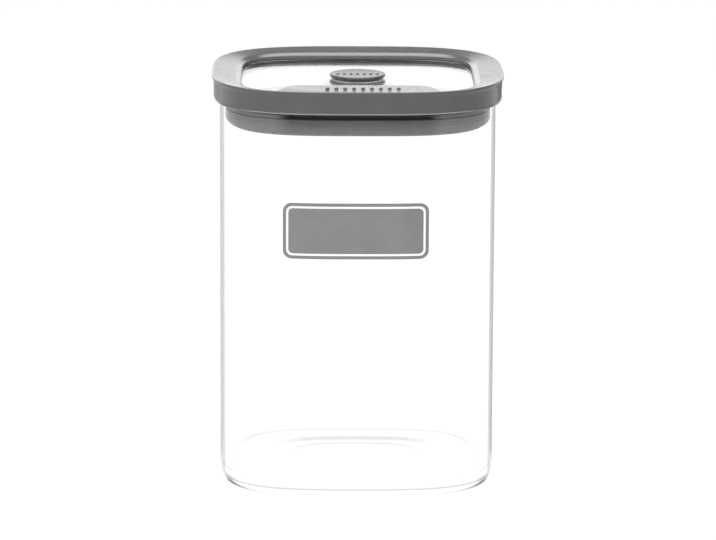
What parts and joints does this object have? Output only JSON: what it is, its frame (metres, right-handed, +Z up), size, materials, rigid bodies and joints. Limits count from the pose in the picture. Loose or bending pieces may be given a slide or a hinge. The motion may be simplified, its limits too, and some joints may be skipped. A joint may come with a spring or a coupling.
{
  "type": "storage jar",
  "caption": "Square clear glass storage jar with rounded sides, a grey sealing lid with a clear window, a front tongue and a press button that vents it.",
  "frame": {"origin": "centre of the base, on the plane that the jar stands on", "axes": "+Z up along the jar, -Y towards the front, where the lid's tongue is, +X to the right seen from the front"},
  "size_m": [0.11, 0.11, 0.154],
  "materials": {
    "jar_glass": "clear polished borosilicate glass",
    "lid_plastic": "satin moulded grey plastic",
    "window_plastic": "clear polished plastic",
    "gasket_silicone": "dark grey silicone",
    "carrier_plastic": "natural milky plastic",
    "seal_silicone": "grey silicone",
    "button_plastic": "satin grey plastic",
    "housing_plastic": "natural milky plastic",
    "spring_steel": "bright spring wire",
    "disc_silicone": "grey silicone",
    "clip_plastic": "grey plastic"
  },
  "bodies": {
    "jar": {"glass_jar": "jar_glass"},
    "lid": {"lid_frame": "lid_plastic", "lid_window": "window_plastic", "window_gasket": "gasket_silicone", "seal_carrier": "carrier_plastic", "seal_ring": "seal_silicone", "valve_housing": "housing_plastic", "return_spring": "spring_steel"},
    "button": {"open_button": "button_plastic", "valve_disc": "disc_silicone", "stem_clip": "clip_plastic"}
  },
  "joints": [
    {"name": "lid_lift", "type": "slide", "parent": "jar", "child": "lid", "axis": [0, 0, 1], "range_m": [0, 0.06]},
    {"name": "button_press", "type": "slide", "parent": "lid", "child": "button", "axis": [0, 0, -1], "range_m": [0, 0.0006], "stiffness_N_per_m": 400, "springref_m": -0.0015, "deforming": ["return_spring"]}
  ]
}
